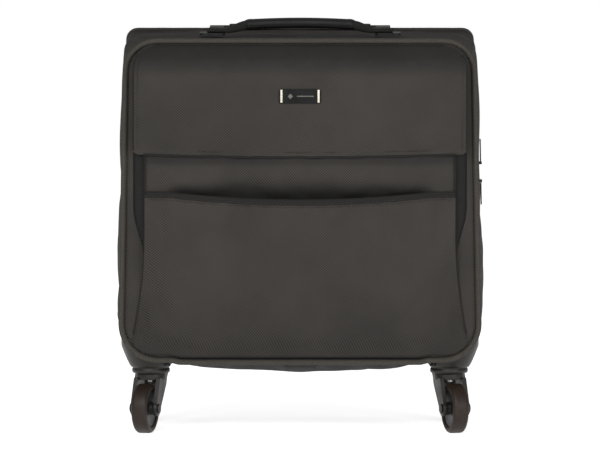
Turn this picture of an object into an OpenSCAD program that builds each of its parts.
// Pilot rolling flight case: a soft-sided upright case on four swivel casters,
// with a zipped front lid, two front pockets, a carry handle and a telescopic handle.
// X runs to the right, Y to the back and Z up. The origin is on the floor, under
// the middle of the case.

/* [Case] */
// Width across the piping near the bottom
case_w = 396; // [360:2:480]
// Width across the piping near the top
case_w_top = 386; // [350:2:480]
// Height across the piping
case_h = 355; // [310:5:430]
// Depth from the front piping to the back face
case_d = 210; // [180:5:260]
// Radius of the bottom corners, outside the piping
corner_bottom_r = 43; // [30:1:60]
// Radius of the front top corners, outside the piping
corner_top_r = 37; // [25:1:60]
// Radius of the rear top corners, outside the piping
corner_rear_r = 19; // [16:1:40]
// Diameter of the piping
piping_d = 6; // [4:0.5:8]
// Thickness of the padded shell
shell_t = 5; // [3:0.5:7]
// How far the sides swell out
side_swell = 7.5; // [0:0.5:12]
// How far the top swells up
top_swell = 4; // [0:0.5:4]
// How far the bottom sags
bottom_sag = 16; // [0:1:20]

/* [Front lid] */
// Height of the fold line above the bottom of the case
fold_rise = 26.4; // [20:1:40]
// Distance from the front piping to the zip
zip_depth = 20; // [14:1:40]
// Width of each zip tape
zip_tape_w = 3.3; // [2:0.1:5]
// Thickness of the front panel
panel_t = 4.5; // [3:0.5:6]

/* [Front pockets] */
// Distance from the sides at the top to the gusseted pocket
pocket_inset = 23.6; // [20:0.2:50]
// How much the pocket widens at the bottom of each side
pocket_flare = 10; // [0:1:12]
// Clear depth of the gusseted pocket
pocket_d = 8; // [5:0.5:14]
// Thickness of the pocket cloth
pocket_t = 2; // [1:0.5:3]
// Distance from the top of the case to the pocket's mouth
pocket_drop = 37.6; // [30:1:60]
// Clear depth of the slip pocket at its mouth
slip_d = 7; // [5:0.5:14]
// Thickness of the slip pocket's cloth
slip_t = 1.8; // [1:0.1:3]
// Distance from the top of the case to the slip pocket's mouth
slip_drop = 168; // [150:2:200]
// How far the slip pocket's mouth dips in the middle
mouth_dip = 8; // [0:1:20]

/* [Flap] */
// Distance from the sides at the top to the flap
flap_inset = 11; // [9:0.5:40]
// Distance from the top of the case to the flap's lower edge
flap_drop = 126; // [100:2:140]
// Thickness of the flap
flap_t = 2.5; // [2:0.5:4]
// Width of the badge
badge_w = 46; // [30:1:60]
// Height of the badge
badge_h = 16; // [10:1:24]

/* [Casters] */
// Diameter of the wheel
wheel_d = 54; // [40:1:64]
// Width of the tyre
tyre_w = 17.5; // [12:0.5:24]
// Diameter of the hub
hub_d = 40; // [28:1:44]
// Diameter of the axle
axle_d = 6; // [4:0.5:8]
// Diameter of the swivel pin
swivel_d = 8; // [6:0.5:10]
// Distance from the swivel axis to the wheel's axle
caster_trail = 21.8; // [14:0.2:26]
// Angle that each wheel is turned outwards
toe_out = 16; // [0:1:30]
// Distance of the swivel axes from the sides
caster_side = 35; // [30:1:50]
// Distance of the swivel axes from the front and the back
caster_inset = 35; // [30:1:45]
// Diameter of the round flange of the housing
flange_d = 41.5; // [36:0.5:50]
// Diameter of the fork's crown
crown_d = 33; // [28:0.5:36]
// Height of the housing under the case
housing_h = 13.3; // [10:0.1:20]

/* [Telescopic handle] */
// Half the distance between the two tube lines
tube_x = 66; // [50:1:80]
// Width of the outer tube
tube_w = 21; // [18:0.5:24]
// Depth of the outer tube
tube_d = 14; // [12:0.5:16]
// Wall of the outer and middle tubes
tube_wall = 1.5; // [1:0.1:1.8]
// Clearance between sliding tubes
tube_gap = 0.3; // [0.2:0.05:0.5]
// Half the length of the handle's grip
grip_half = 78; // [70:1:95]
// Depth of the grip
grip_d = 20; // [16:1:24]
// Height of the grip
grip_h = 18.5; // [16:0.5:24]
// Finger space in front of the grip
finger_gap = 14; // [10:1:20]
// Travel of the release button
button_travel = 3; // [2:0.5:4]

/* [Carry handle] */
// Half the length of the carry handle's grip
carry_half = 60; // [45:1:70]
// Depth of the carry handle's grip
carry_d = 26; // [18:1:34]
// Thickness of the carry handle's grip
carry_t = 12.5; // [9:0.5:16]
// Distance of each anchor from the middle
anchor_x = 96; // [86:1:120]
// Distance from the front piping to the carry handle
carry_depth = 60; // [50:2:80]
// Clear height under the carry handle's grip
carry_gap = 7; // [5:0.5:14]

/* [Hidden] */
$fn = 48;

// Colours
cloth = [0.26, 0.25, 0.23];
cloth_dark = [0.17, 0.17, 0.16];
trim = [0.20, 0.19, 0.18];
lining_grey = [0.42, 0.43, 0.45];
plastic = [0.22, 0.21, 0.20];
rubber = [0.24, 0.21, 0.18];
black = [0.08, 0.08, 0.08];
steel = [0.72, 0.73, 0.75];
aluminium = [0.80, 0.81, 0.82];

// Fits
air = 0.3;
touch = 0.1;
running = 0.05;

// Sizes that follow the width of the case
pocket_half = case_w_top / 2 - pocket_inset;
flap_half = case_w_top / 2 - flap_inset;
caster_x = case_w / 2 - caster_side;

// Heights of the caster's layers, from the floor up
wheel_gap = 3.4;
crown_t = 6.3;
swivel_gap = 0.6;
axle_z = wheel_d / 2;
crown_z = wheel_d + wheel_gap;
flange_z = crown_z + crown_t + swivel_gap;
bottom_z = flange_z + housing_h;

// The shell line runs through the middle of the piping
pipe_r = piping_d / 2;
half_lo = case_w / 2 - pipe_r;
half_hi = case_w_top / 2 - pipe_r;
z_lo = bottom_z + pipe_r;
z_hi = bottom_z + case_h - pipe_r;
r_lo = corner_bottom_r - pipe_r;
r_hi = corner_top_r - pipe_r;
r_rear = corner_rear_r - pipe_r;
c_lo = [half_lo - r_lo, z_lo + r_lo];
top_z = bottom_z + case_h;
n_arc = 7;
n_side = 8;
n_flat = 12;

// Offsets from the shell line: the flat panels, and the two faces of the zip tapes
panel_e = -pipe_r - 0.4;
tape_in = -2.2;
tape_out = -0.6;

// Depths, measured back from the front of the piping
zip_split = 0.2;
lid_edge = zip_depth - zip_split - zip_tape_w;
body_edge = zip_depth + zip_split + zip_tape_w;
back_t = piping_d;
body_end = case_d - back_t;
panel_face = piping_d - panel_t;
pocket_proud = pocket_d + pocket_t;
flap_gap = 0.5;
slip_proud = pocket_proud + slip_d + slip_t;
proud = slip_proud - panel_face;
y_front = (proud - case_d) / 2;
y_back = y_front + case_d;
y_panel = y_front + panel_face;

// Fold line and lid hinge
fold_z = bottom_z + fold_rise;
fold_split = 0.3;
lid_angle = asin((fold_z + fold_split - c_lo.y) / r_lo);
sill_angle = asin((fold_z - fold_split - c_lo.y) / r_lo);

// Points of an arc, both ends included
function arc(c, r, from, to, n) =
    [for (i = [0:n]) let (a = from + (to - from) * i / n) c + r * [cos(a), sin(a)]];
// Points strictly between two points
function between(p, q, n) = [for (i = [1:n - 1]) p + (q - p) * i / n];
// The same points on the other side, in the opposite order
function mirrored(pts) = [for (i = [len(pts) - 1:-1:0]) [-pts[i].x, pts[i].y]];
function last(pts) = pts[len(pts) - 1];

// The top corner gets tighter from the zip to the back
function clamp(v) = max(0, min(1, v));
function top_r(d) = r_hi + (r_rear - r_hi) * clamp((d - body_edge) / (body_end - body_edge));
function c_hi(r) = [half_hi - r, z_hi - r];
// Angle by which the sides lean inwards
function lean(r) = let (v = c_hi(r) - c_lo) atan2(v.y, v.x) - acos((r_lo - r) / norm(v));

// Right side of the outline, moved out by e, from an angle on the lower corner to the top
function right_side(e, r, from) =
    let (t = lean(r),
         low = arc(c_lo, r_lo + e, from, t, n_arc),
         high = arc(c_hi(r), r + e, t, 90, n_arc))
    concat(low, between(last(low), high[0], n_side), high);
// Over the top, from one lower corner to the other
function hoop(e, d, from) =
    let (s = right_side(e, top_r(d), from), m = mirrored(s)) concat(s, between(last(s), m[0], n_flat), m);
// Under the bottom, from one lower corner to the other
function cradle(e, to) =
    let (s = arc(c_lo, r_lo + e, -90, to, n_arc), m = mirrored(s))
    concat(m, between(last(m), s[0], n_flat), s);
// All the way round
function outline(e, d) =
    let (h = hoop(e, d, -90)) concat(h, between(last(h), h[0], n_flat));

// Softness of the shell between the zip and the back
housing_margin = 11;
sag_half = caster_x - flange_d / 2 - housing_margin;
swell_lo = bottom_z + 34;
swell_hi = z_hi - 6;
function bow(v, power) = 1 - pow(abs(2 * clamp(v) - 1), power);
function depth_bow(d) = sin(180 * clamp((d - body_edge) / (body_end - body_edge)));
function swell_out(p, d) = side_swell * pow(depth_bow(d), 0.6)
    * bow((p.y - swell_lo) / (swell_hi - swell_lo), 4) * pow(min(1, abs(p.x) / half_hi), 8);
function swell_up(p, d) = top_swell * depth_bow(d) * pow(clamp((p.y - z_lo) / (z_hi - z_lo)), 12)
    * (1 - pow(min(1, abs(p.x) / half_hi), 4));
function swell_down(p, d) = bottom_sag * sqrt(depth_bow(d))
    * pow(clamp(1 - (p.y - z_lo) / (z_hi - z_lo)), 12) * (1 - pow(min(1, abs(p.x) / sag_half), 2));
function swollen(p, d) = p + [sign(p.x) * swell_out(p, d), swell_up(p, d) - swell_down(p, d)];
function top_surface(x, d) = z_hi + swell_up([x, z_hi], d);
function bottom_surface(d) = z_lo - swell_down([0, z_lo], d);

// Cross-sections: a list of [out from the shell line, depth], counter-clockwise
function band(e0, e1, d0, d1) = [[e1, d0], [e1, d1], [e0, d1], [e0, d0]];
function round_section(e, d, r, n) =
    [for (k = [0:n - 1]) let (a = 360 * (k + 0.5) / n) [e + r * cos(a), d + r * sin(a)]];

// A solid from rings of points, one ring for each corner of its cross-section
module loft(rings, closed) {
    m = len(rings);
    n = len(rings[0]);
    steps = closed ? n : n - 1;
    sides = [for (j = [0:m - 1], i = [0:steps - 1]) let (k = (j + 1) % m, l = (i + 1) % n)
        [j * n + i, j * n + l, k * n + l, k * n + i]];
    caps = closed ? [] : [[for (j = [0:m - 1]) j * n], [for (j = [m - 1:-1:0]) j * n + n - 1]];
    polyhedron(points = [for (ring = rings) each ring], faces = concat(sides, caps), convexity = 8);
}

function place(pts, d) = [for (p = pts) [p.x, y_front + d, p.y]];
module round_loop(section, soft = false)
    loft([for (s = section) let (o = outline(s[0], s[1]))
        place(soft ? [for (p = o) swollen(p, s[1])] : o, s[1])], true);
module over_top(section, from) loft([for (s = section) place(hoop(s[0], s[1], from), s[1])], false);
module under_bottom(section, to) loft([for (s = section) place(cradle(s[0], to), s[1])], false);

// Extrusions of an upright outline (x, z) between two depths, and of a side profile (y, z) between two x
module along_y(y0, y1) translate([0, y1, 0]) rotate([90, 0, 0]) linear_extrude(y1 - y0) children();
module along_x(x0, x1) translate([x0, 0, 0]) rotate([90, 0, 90]) linear_extrude(x1 - x0) children();
module box(low, high) translate(low) cube(high - low);
module both_sides() {
    children();
    mirror([1, 0, 0]) children();
}
// Upright outline with rounded top and bottom corners
function rounded(half, z0, z1, r_top, r_bottom) =
    let (s = concat(arc([half - r_bottom, z0 + r_bottom], r_bottom, -90, 0, 6),
                    arc([half - r_top, z1 - r_top], r_top, 0, 90, 6)))
    concat(s, mirrored(s));

// ---- Shell ----
body_stations = [for (a = [0:22.5:180]) body_edge + (body_end - body_edge) * (1 - cos(a)) / 2];

module body_gusset() color(cloth) difference() {
    round_loop(concat([for (d = body_stations) [0, d]],
        [for (i = [len(body_stations) - 1:-1:0]) [-shell_t, body_stations[i]]]), true);
    box([-cup_half - cup_t - air, cup_y0 - cup_t - air, cup_z - cup_t - cup_t],
        [cup_half + cup_t + air, cup_y1 + cup_t + air, flange_top_z + 1]);
}

module front_sill() color(cloth) under_bottom(band(-shell_t, 0, piping_d, body_edge), sill_angle);

module lower_front_panel() color(cloth) along_y(y_panel, y_front + piping_d) intersection() {
    polygon(outline(panel_e, 0));
    translate([-case_w, 0]) square([2 * case_w, fold_z - fold_split]);
}

module body_piping() color(trim) {
    under_bottom(round_section(0, pipe_r, pipe_r, 10), sill_angle);
    round_loop(round_section(0, case_d - pipe_r, pipe_r, 10));
}

module back_panel() color(cloth_dark) along_y(y_back - back_t, y_back) polygon(outline(panel_e, body_end));

module zipper_body_side() color(black)
    over_top(band(tape_in, tape_out, zip_depth + zip_split, body_edge), lid_angle);

// ---- Inside ----
board_t = 2.5;
board_gap = 0.2;
board_z = z_lo + shell_t + board_gap;
board_half = c_lo.x - 5;
board_rear_gap = 2;
lining_t = 1.2;
lining_gap = 0.4;
lining_e = -(shell_t + board_gap + board_t + lining_gap);
wire_r = 1.5;
wire_e = -shell_t - wire_r - touch / 2;
wire_rear_gap = 6;
lining_front = body_edge + 0.5;
tube_room = 9.5;
lining_back = case_d - back_t - tube_d - tube_room;

module bottom_board() color(black) difference() {
    box([-board_half, y_front + body_edge, board_z],
        [board_half, y_back - back_t - board_rear_gap, board_z + board_t]);
    at_screws() cylinder(h = case_h, d = screw_d);
}

module main_lining() color(lining_grey) difference() {
    union() {
        round_loop(band(lining_e - lining_t, lining_e, lining_front, lining_back));
        along_y(y_front + lining_back, y_front + lining_back + lining_t)
            polygon(outline(lining_e, lining_back));
    }
    box([-cup_half - cup_t - air, cup_y0 - cup_t - air, cup_z - cup_t - air],
        [cup_half + cup_t + air, y_back, top_z]);
}

module frame_wires() color(steel) {
    over_top(round_section(wire_e, lining_front + wire_r, wire_r, 8), lid_angle);
    over_top(round_section(wire_e, cup_y0 - y_front - cup_t - wire_rear_gap, wire_r, 8), lid_angle);
}

// ---- Telescopic handle ----
grip_rear_gap = 1;
cup_t = 2;
handle_y = y_back - back_t - 1 - cup_t - grip_rear_gap - grip_d / 2;
cup_half = grip_half + 6;
cup_y1 = handle_y + grip_d / 2 + grip_rear_gap;
cup_y0 = handle_y - grip_d / 2 - finger_gap;
bezel_t = 2.7;
bezel_z = top_z + 0.2;
flange_top_z = bezel_z + bezel_t;
flange_side = 16;
flange_lap = 3;
collar_h = 7.4;
grip_top_z = top_z + 4.9;
grip_z = grip_top_z - grip_h;
collar_z = grip_z - air - collar_h;
cup_z = collar_z - air;
foot_z = board_z + board_t;
foot_h = 14;
foot_wall_x = 3;
foot_wall_y = 1;
outer_z = foot_z + 4;
mid_z = outer_z + 6;
inner_z = mid_z + 6;
mid_w = tube_w - 2 * tube_wall - 2 * tube_gap;
mid_d = tube_d - 2 * tube_wall - 2 * tube_gap;
inner_w = mid_w - 2 * tube_wall - 2 * tube_gap;
inner_d = mid_d - 2 * tube_wall - 2 * tube_gap;
inner_wall = 1;
inner_top_z = grip_z + 8;

module tube(w, d, wall, z0, z1) for (s = [-1, 1]) translate([s * tube_x, handle_y, z0])
    linear_extrude(z1 - z0) difference() {
        square([w, d], center = true);
        square([w - 2 * wall, d - 2 * wall], center = true);
    }

module tube_holes(w, d, z0, z1) for (s = [-1, 1]) translate([s * tube_x, handle_y, (z0 + z1) / 2])
    cube([w, d, z1 - z0], center = true);

module handle_bezel() color(plastic) difference() {
    union() {
        box([-cup_half - flange_side, cup_y0 - cup_t - flange_lap, bezel_z],
            [cup_half + flange_side, cup_y1 + cup_t + flange_lap, flange_top_z]);
        box([-cup_half - cup_t, cup_y0 - cup_t, cup_z - cup_t],
            [cup_half + cup_t, cup_y1 + cup_t, flange_top_z]);
    }
    box([-cup_half, cup_y0, cup_z], [cup_half, cup_y1, flange_top_z + 1]);
    tube_holes(mid_w + 2 * tube_gap, mid_d + 2 * tube_gap, cup_z - cup_t - 1, cup_z + 1);
}

module outer_tubes() color(aluminium) tube(tube_w, tube_d, tube_wall, outer_z, cup_z - cup_t);

module tube_foot() color(plastic) difference() {
    box([-tube_x - tube_w / 2 - foot_wall_x, handle_y - tube_d / 2 - foot_wall_y, foot_z],
        [tube_x + tube_w / 2 + foot_wall_x, handle_y + tube_d / 2 + foot_wall_y, foot_z + foot_h]);
    tube_holes(tube_w, tube_d, outer_z, foot_z + foot_h + 1);
}

module mid_tubes() color(aluminium) tube(mid_w, mid_d, tube_wall, mid_z, collar_z);

module mid_collars() color(black)
    tube(tube_w, tube_d, (tube_w - inner_w) / 2 - tube_gap, collar_z, collar_z + collar_h);

module inner_tubes() color(aluminium) tube(inner_w, inner_d, inner_wall, inner_z, inner_top_z);

yoke_t = 2.3;
yoke_z = inner_top_z + touch + air + button_travel;
cavity_top_z = yoke_z + yoke_t + touch;
grip_wall = 4;
cavity_d = grip_d - 2 * grip_wall;
button_half = 18;
button_d = 10;
yoke_half = 3;
rod_z = inner_z + 8;
rod_d = inner_d - 2 * inner_wall - 2 * tube_gap;
spring_d = 8;
spring_z = inner_top_z - 5;

module handle_grip() color(rubber) difference() {
    translate([0, handle_y, grip_z]) linear_extrude(grip_h)
        polygon(plan_round(grip_half, grip_d / 2, plan_r));
    box([-grip_half + grip_wall, handle_y - cavity_d / 2, inner_top_z],
        [grip_half - grip_wall, handle_y + cavity_d / 2, cavity_top_z]);
    box([-button_half - air, handle_y - button_d / 2 - air, cavity_top_z - 1],
        [button_half + air, handle_y + button_d / 2 + air, grip_top_z + 1]);
    tube_holes(inner_w, inner_d, grip_z - 1, inner_top_z + 1);
    translate([0, handle_y, spring_z]) cylinder(h = 6, d = spring_d + 2 * air);
}
// Plan outline with rounded corners
plan_r = 5;
function plan_round(hx, hy, r) = concat(
    arc([hx - r, r - hy], r, -90, 0, 6), arc([hx - r, hy - r], r, 0, 90, 6),
    arc([r - hx, hy - r], r, 90, 180, 6), arc([r - hx, r - hy], r, 180, 270, 6));

module release_button() color(black)
    box([-button_half, handle_y - button_d / 2, yoke_z + yoke_t],
        [button_half, handle_y + button_d / 2, grip_top_z + 2]);

module release_rods() color(steel) {
    box([-tube_x - 2, handle_y - yoke_half, yoke_z], [tube_x + 2, handle_y + yoke_half, yoke_z + yoke_t]);
    for (s = [-1, 1]) translate([s * tube_x, handle_y, rod_z])
        cylinder(h = yoke_z + yoke_t / 2 - rod_z, d = rod_d, $fn = 16);
}

spring_wire = 0.9;
spring_turns = 4;
spring_steps = 12;
module button_spring() color(steel) {
    r = (spring_d - spring_wire) / 2;
    low = spring_z + spring_wire / 2;
    rise = yoke_z - spring_z - spring_wire;
    total = spring_turns * spring_steps;
    loft([for (k = [0:7]) let (b = 45 * k, q = r + spring_wire / 2 * cos(b), drop = spring_wire / 2 * sin(b))
        [for (i = [0:total]) let (a = 360 * i / spring_steps)
            [q * cos(a), handle_y - q * sin(a), low + rise * i / total - drop]]], false);
}

// ---- Carry handle ----
anchor_l = 28;
anchor_d = 32;
anchor_t = 2.8;
carry_y = y_front + carry_depth;
anchor_z = top_surface(anchor_x - anchor_l / 2, carry_depth + anchor_d / 2) + touch;
carry_z = top_surface(0, carry_depth + carry_d / 2) + carry_gap + carry_t / 2;
carry_arch = 2;
strap_t = 6;

module carry_grip() color(rubber) loft([for (k = [0:11]) let (a = 30 * k)
    [for (i = [0:8]) let (x = carry_half * (1 - i / 4))
        [x, carry_y + carry_d / 2 * sin(a),
            carry_z - carry_arch * pow(x / carry_half, 2) + carry_t / 2 * cos(a)]]], false);

module carry_straps() color(cloth_dark) both_sides()
    along_y(carry_y - carry_d / 2 + 2, carry_y + carry_d / 2 - 2) polygon([
        [carry_half + touch, carry_z - carry_arch + strap_t / 2],
        [carry_half + touch, carry_z - carry_arch - strap_t / 2],
        [anchor_x - anchor_l / 2, anchor_z + anchor_t + 1.5],
        [anchor_x - anchor_l / 2, anchor_z + anchor_t + touch],
        [anchor_x + 6, anchor_z + anchor_t + touch],
        [anchor_x + 6, anchor_z + anchor_t + touch + 3],
        [anchor_x - 12, anchor_z + anchor_t + 5.5]]);

module carry_anchors() color(plastic) both_sides()
    translate([anchor_x, carry_y, anchor_z]) linear_extrude(anchor_t)
        polygon(plan_round(anchor_l / 2, anchor_d / 2, plan_r));

// ---- Webbing loop under the bottom ----
web_half = 15.5;
web_t = 2.2;
web_gap = 0.7;
web_l = 72;
web_n = 12;
function web_line(drop, n) = [for (i = [0:n]) let (d = piping_d + 1 + web_l * i / n)
    [y_front + d, bottom_surface(d) - drop]];
function reversed(pts) = [for (i = [len(pts) - 1:-1:0]) pts[i]];
module bottom_grab_strap() color(cloth_dark) along_x(-web_half, web_half)
    polygon(concat(web_line(web_gap, web_n), reversed(web_line(web_gap + web_t, web_n))));

// ---- Front lid ----
module lid_panel() color(cloth) along_y(y_panel, y_front + piping_d) intersection() {
    polygon(outline(panel_e, 0));
    translate([-case_w, fold_z + fold_split]) square([2 * case_w, case_h]);
}

module lid_gusset() color(cloth) over_top(band(-shell_t, 0, piping_d, lid_edge), lid_angle);

module lid_piping() color(trim) over_top(round_section(0, pipe_r, pipe_r, 10), lid_angle);

module zipper_lid_side() color(black)
    over_top(band(tape_in, tape_out, lid_edge, zip_depth - zip_split), lid_angle);

module lid_lining() color(lining_grey) along_y(y_front + piping_d, y_front + piping_d + lining_t)
    intersection() {
    polygon(outline(-shell_t - touch, 0));
    translate([-case_w, fold_z + fold_split]) square([2 * case_w, case_h]);
}

// ---- Front pockets ----
pocket_z = fold_z + 2;
pocket_top_z = top_z - pocket_drop;
flare_h = 104;
flare_z = pocket_z + flare_h;
slip_z = top_z - slip_drop;
slip_bottom_z = pocket_z + 2;
slip_half = pocket_half - 4;
slip_side = 2;
mouth_end = 22;

module pocket_outline(inset) polygon([
    [-pocket_half - pocket_flare + inset, pocket_z + inset],
    [pocket_half + pocket_flare - inset, pocket_z + inset],
    [pocket_half - inset, flare_z], [pocket_half - inset, pocket_top_z],
    [-pocket_half + inset, pocket_top_z], [-pocket_half + inset, flare_z]]);

module pocket_panel() color(cloth) along_y(y_panel - pocket_proud, y_panel - pocket_d) pocket_outline(0);

module pocket_gussets() color(cloth_dark) along_y(y_panel - pocket_d, y_panel) difference() {
    pocket_outline(0);
    pocket_outline(pocket_t);
    translate([-pocket_half + pocket_t, flare_z]) square([2 * (pocket_half - pocket_t), case_h]);
}

// The slip pocket is a wedge: closed at the sides and the bottom, open at the top
module slip_profile(z0, front) polygon([
    [y_panel - pocket_proud, z0], [y_panel - pocket_proud - (slip_t - front), z0],
    [y_panel - slip_proud + front, slip_z + front], [y_panel - pocket_proud, slip_z + front]]);

module slip_pocket() color(cloth) difference() {
    along_x(-slip_half, slip_half) slip_profile(slip_bottom_z, 0);
    along_x(-slip_half + slip_side, slip_half - slip_side) slip_profile(slip_bottom_z + slip_t, slip_t);
    mouth_cut();
}
mouth_half = slip_half - mouth_end;
mouth_r = (pow(mouth_half, 2) + pow(mouth_dip, 2)) / (2 * mouth_dip);
module mouth_cut() if (mouth_dip > 0)
    translate([0, y_panel - pocket_proud - touch, slip_z - mouth_dip + mouth_r])
        rotate([90, 0, 0]) cylinder(h = slip_d + slip_t + 2, r = mouth_r, $fn = 360);

// ---- Flap ----
flap_z = top_z - flap_drop;
flap_top_z = z_hi - 4.6;
flap_knee_z = flap_top_z - 14.5;
flap_top_corner = 26;
flap_low_corner = 5;
seam_t = 2.1;
flap_front = y_panel - pocket_proud - flap_gap - flap_t;

module front_flap() color(cloth) intersection() {
    along_x(-flap_half, flap_half) polygon([
        [flap_front, flap_z],
        [flap_front + flap_t, flap_z],
        [flap_front + flap_t, flap_knee_z - 0.8],
        [y_panel - flap_gap, flap_top_z - 1.4],
        [y_panel - flap_gap, flap_top_z],
        [y_panel - flap_gap - seam_t, flap_top_z],
        [flap_front, flap_knee_z]]);
    along_y(flap_front - 1, y_front)
        polygon(rounded(flap_half, flap_z, flap_top_z, flap_top_corner, flap_low_corner));
}

badge_drop = 62.6;
badge_z = top_z - badge_drop;
badge_t = 1.2;
badge_r = 2;
bar_w = 2.2;
bar_t = 0.6;
bar_inset = 1.7;
bar_end = 1.2;
module badge_plate() color(black) along_y(flap_front - badge_t, flap_front)
    polygon(rounded(badge_w / 2, badge_z - badge_h / 2, badge_z + badge_h / 2, badge_r, badge_r));

module badge_bars() color(steel) both_sides() along_y(flap_front - badge_t - bar_t, flap_front - badge_t)
    translate([badge_w / 2 - bar_inset - bar_w, badge_z - badge_h / 2 + bar_end])
        square([bar_w, badge_h - 2 * bar_end]);

// ---- Zip sliders on the right side ----
slider_t = 3;
slider_half = 6;
slider_e = 0.4;
slider_d0 = zip_depth - 4.7;
slider_d1 = zip_depth + 3.3;
lug_t = 1.3;
pin_r = 0.7;
eye_r = 1.4;
pin_e = slider_e + slider_t + eye_r + 0.2;
pin_offset = 3.5;
pull_l = 26;
pull_t = 1.4;
track_low = c_lo + (r_lo) * [cos(lean(r_hi)), sin(lean(r_hi))];
track_high = c_hi(r_hi) + r_hi * [cos(lean(r_hi)), sin(lean(r_hi))];
slider_share = 0.62;
slider_gap = 0.5;
slider_upper_s = slider_share * norm(track_high - track_low);
slider_lower_s = slider_upper_s - 2 * slider_half - slider_gap;

// Local frame on the zip: X out of the case, Y back from the front piping, Z up along the zip
module on_track(s) {
    p = track_low + (track_high - track_low) * s / norm(track_high - track_low);
    translate([p.x, y_front, p.y]) rotate([0, -lean(r_hi), 0]) children();
}

// up is 1 when the pull points up, -1 when it hangs down
module slider(up) {
    box([slider_e, slider_d0, -slider_half], [slider_e + slider_t, slider_d1, slider_half]);
    for (y = [slider_d0, slider_d1 - lug_t]) translate([0, y, up * pin_offset])
        box([slider_e + slider_t, 0, -eye_r], [pin_e + eye_r, lug_t, eye_r]);
    translate([pin_e, slider_d1 - lug_t / 2, up * pin_offset]) rotate([90, 0, 0])
        cylinder(h = slider_d1 - slider_d0 - lug_t, r = pin_r, $fn = 24);
}

module pull(up) difference() {
    union() {
        translate([pin_e, slider_d1 - lug_t - touch, up * pin_offset]) rotate([90, 0, 0])
            cylinder(h = slider_d1 - slider_d0 - 2 * lug_t - 2 * touch, r = eye_r, $fn = 24);
        translate([0, 0, up * pin_offset]) mirror([0, 0, (1 - up) / 2])
            box([pin_e - pull_t / 2, slider_d0 + lug_t + touch, 0],
                [pin_e + pull_t / 2, slider_d1 - lug_t - touch, pull_l]);
    }
    translate([pin_e, slider_d1, up * pin_offset]) rotate([90, 0, 0])
        cylinder(h = slider_d1 - slider_d0, r = pin_r + running, $fn = 24);
}

module slider_upper() color(steel) on_track(slider_upper_s) slider(1);
module slider_lower() color(steel) on_track(slider_lower_s) slider(-1);
module pull_upper() color(steel) on_track(slider_upper_s) pull(1);
module pull_lower() color(steel) on_track(slider_lower_s) pull(-1);

// ---- Casters ----
front_y = y_front + caster_inset;
rear_y = y_back - caster_inset;
housing_out = 31.4;
housing_in = 25.5;
housing_front = caster_inset - 3.3;
housing_rear = 34;
flange_t = 6;
block_r = 9;
screw_d = 3.6;
screw_head_d = 7;
screw_head_t = 2.4;
screw_head_z = bottom_z - 4;
screw_side = 18;
screw_x = caster_x - screw_side;
screw_y = 22;
block_z = bottom_z + 14;
block_h = 8;
fork_gap = 21;
leg_t = 4.5;
boss_d = 16;
leg_front = -15;
leg_rear = 12;
leg_lap = 2;
leg_step = 3;
pin_head_d = 13;
pin_head_t = 2.8;
pin_top_z = bottom_z - 1;

module at_corner(right, rear)
    translate([(right ? 1 : -1) * caster_x, rear ? rear_y : front_y, 0]) children();

module at_screws() for (x = [-screw_x, screw_x], y = [front_y - screw_y, front_y + screw_y,
    rear_y - screw_y, rear_y + screw_y]) translate([x, y, 0]) children();

// Moulded corner that carries the caster; its upper side follows the case
module housing(right, rear) difference() {
    at_corner(right, rear) mirror([right ? 0 : 1, 0, 0]) mirror([0, rear ? 1 : 0, 0]) {
        hull() {
            translate([0, 0, flange_z + flange_t - 2]) cylinder(h = 3, d = flange_d - 1, $fn = 32);
            rounded_block(-housing_in, housing_out, block_z, block_z + block_h);
            rounded_block(-housing_in, 0, bottom_z, bottom_z + block_h);
        }
        translate([0, 0, flange_z]) cylinder(h = flange_t, d = flange_d);
    }
    along_y(y_front - 1, y_back + 1) polygon(outline(0.2, 0));
    under_piping();
    at_corner(right, rear) translate([0, 0, flange_z - 1]) cylinder(h = case_h, d = swivel_d);
    at_screws() translate([0, 0, flange_z - 1]) cylinder(h = case_h, d = screw_d);
    at_screws() translate([0, 0, 0]) cylinder(h = screw_head_z + screw_head_t, d = screw_head_d + 0.6);
}
module rounded_block(x0, x1, z0, z1) translate([0, 0, z0]) for (x = [x0 + block_r, x1 - block_r],
    y = [block_r - housing_front, housing_rear - block_r])
        translate([x, y, 0]) cylinder(h = z1 - z0, r = block_r, $fn = 32);
// Room for the two rings of piping
module under_piping() {
    along_y(y_front - 1, y_front + piping_d + 0.2) polygon(outline(pipe_r + air, -1));
    along_y(y_back - piping_d - 0.2, y_back + 1) polygon(outline(pipe_r + air, case_d - piping_d - 0.2));
}

module housing_front_left() color(plastic) housing(false, false);
module housing_front_right() color(plastic) housing(true, false);
module housing_rear_left() color(plastic) housing(false, true);
module housing_rear_right() color(plastic) housing(true, true);

module housing_screws() color(steel) at_screws() {
    translate([0, 0, screw_head_z]) cylinder(h = screw_head_t, d = screw_head_d);
    translate([0, 0, screw_head_z + screw_head_t / 2])
        cylinder(h = board_z + board_t - screw_head_z - screw_head_t / 2, d = screw_d);
}

module swivel_pins() color(steel) for (right = [false, true], rear = [false, true]) at_corner(right, rear) {
    translate([0, 0, crown_z - air - pin_head_t]) cylinder(h = pin_head_t, d = pin_head_d);
    translate([0, 0, crown_z - air - 1]) cylinder(h = pin_top_z - crown_z + air + 1, d = swivel_d);
}

// Local frame of a caster: the wheel trails towards -Y, turned outwards
module turned(right) rotate([0, 0, (right ? 1 : -1) * toe_out]) children();
module at_axle() translate([0, -caster_trail, axle_z]) rotate([0, 90, 0]) children();

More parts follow.
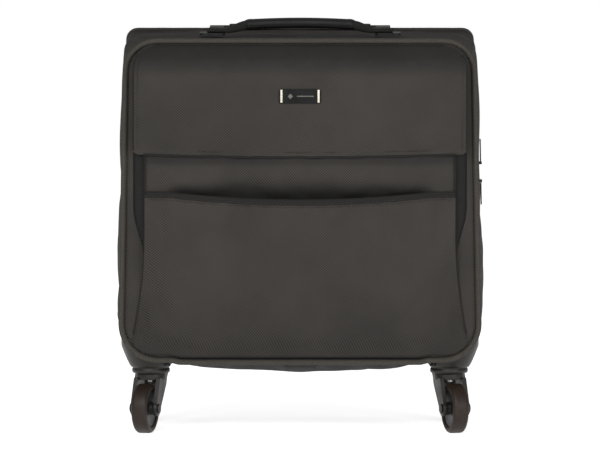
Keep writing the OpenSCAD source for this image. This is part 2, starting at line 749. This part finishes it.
module fork(right, rear) at_corner(right, rear) turned(right) difference() {
    union() {
        translate([0, 0, crown_z]) cylinder(h = crown_t, d = crown_d);
        for (side = [-1, 1]) translate([side * (fork_gap + leg_t) / 2 - leg_t / 2, 0, 0]) along_x(0, leg_t)
        {
            polygon([
                [leg_front, crown_z + leg_lap],
                [leg_rear, crown_z + leg_lap],
                [leg_rear - leg_step, crown_z - 2 * leg_step],
                [boss_d / 2 - caster_trail, axle_z - leg_lap],
                [-boss_d / 2 - caster_trail, axle_z]]);
            translate([-caster_trail, axle_z]) circle(d = boss_d);
        }
    }
    translate([0, 0, crown_z - 1]) cylinder(h = crown_t + 2, d = swivel_d + 2 * running);
    at_axle() translate([0, 0, -fork_gap]) cylinder(h = 2 * fork_gap, d = axle_d);
}

axle_half = fork_gap / 2 + leg_t;
rivet_t = 1.6;
rivet_d = axle_d + 4;
module axle(right, rear) at_corner(right, rear) turned(right) at_axle() {
    translate([0, 0, -axle_half - 1]) cylinder(h = 2 * axle_half + 2, d = axle_d);
    for (z = [-axle_half - rivet_t, axle_half]) translate([0, 0, z]) cylinder(h = rivet_t, d = rivet_d);
}

hub_w = fork_gap - 1.4;
hub_recess = 2;
boss_wall = 4;
module hub(right, rear) at_corner(right, rear) turned(right) at_axle() difference() {
    union() {
        translate([0, 0, hub_recess - tyre_w / 2]) cylinder(h = tyre_w - 2 * hub_recess, d = hub_d);
        translate([0, 0, -hub_w / 2]) cylinder(h = hub_w, d = axle_d + 2 * boss_wall);
    }
    translate([0, 0, -hub_w]) cylinder(h = 2 * hub_w, d = axle_d + 2 * running);
}

tyre_round = 4;
tyre_shoulder = [wheel_d / 2 - tyre_round, tyre_w / 2 - tyre_round];
tyre_low = [tyre_shoulder.x, -tyre_shoulder.y];
module tyre(right, rear) at_corner(right, rear) turned(right) at_axle() rotate_extrude($fn = 96)
    polygon(concat(
        [[hub_d / 2, 1 - tyre_w / 2], [hub_d / 2, tyre_w / 2 - 1]],
        arc(tyre_shoulder, tyre_round, 90, 0, 6),
        arc(tyre_low, tyre_round, 0, -90, 6)));

module fork_front_left() color(plastic) fork(false, false);
module fork_front_right() color(plastic) fork(true, false);
module fork_rear_left() color(plastic) fork(false, true);
module fork_rear_right() color(plastic) fork(true, true);
module axle_front_left() color(steel) axle(false, false);
module axle_front_right() color(steel) axle(true, false);
module axle_rear_left() color(steel) axle(false, true);
module axle_rear_right() color(steel) axle(true, true);
module hub_front_left() color(black) hub(false, false);
module hub_front_right() color(black) hub(true, false);
module hub_rear_left() color(black) hub(false, true);
module hub_rear_right() color(black) hub(true, true);
module tyre_front_left() color(rubber) tyre(false, false);
module tyre_front_right() color(rubber) tyre(true, false);
module tyre_rear_left() color(rubber) tyre(false, true);
module tyre_rear_right() color(rubber) tyre(true, true);

body_gusset();
front_sill();
lower_front_panel();
body_piping();
back_panel();
bottom_board();
main_lining();
frame_wires();
zipper_body_side();
handle_bezel();
outer_tubes();
tube_foot();
carry_anchors();
carry_straps();
bottom_grab_strap();
housing_screws();
swivel_pins();
housing_front_left();
housing_front_right();
housing_rear_left();
housing_rear_right();
slider_upper();
slider_lower();
pull_upper();
pull_lower();
lid_panel();
lid_gusset();
lid_piping();
zipper_lid_side();
lid_lining();
pocket_panel();
pocket_gussets();
slip_pocket();
front_flap();
badge_plate();
badge_bars();
mid_tubes();
mid_collars();
inner_tubes();
handle_grip();
release_button();
release_rods();
button_spring();
carry_grip();
fork_front_left();
fork_front_right();
fork_rear_left();
fork_rear_right();
axle_front_left();
axle_front_right();
axle_rear_left();
axle_rear_right();
hub_front_left();
hub_front_right();
hub_rear_left();
hub_rear_right();
tyre_front_left();
tyre_front_right();
tyre_rear_left();
tyre_rear_right();
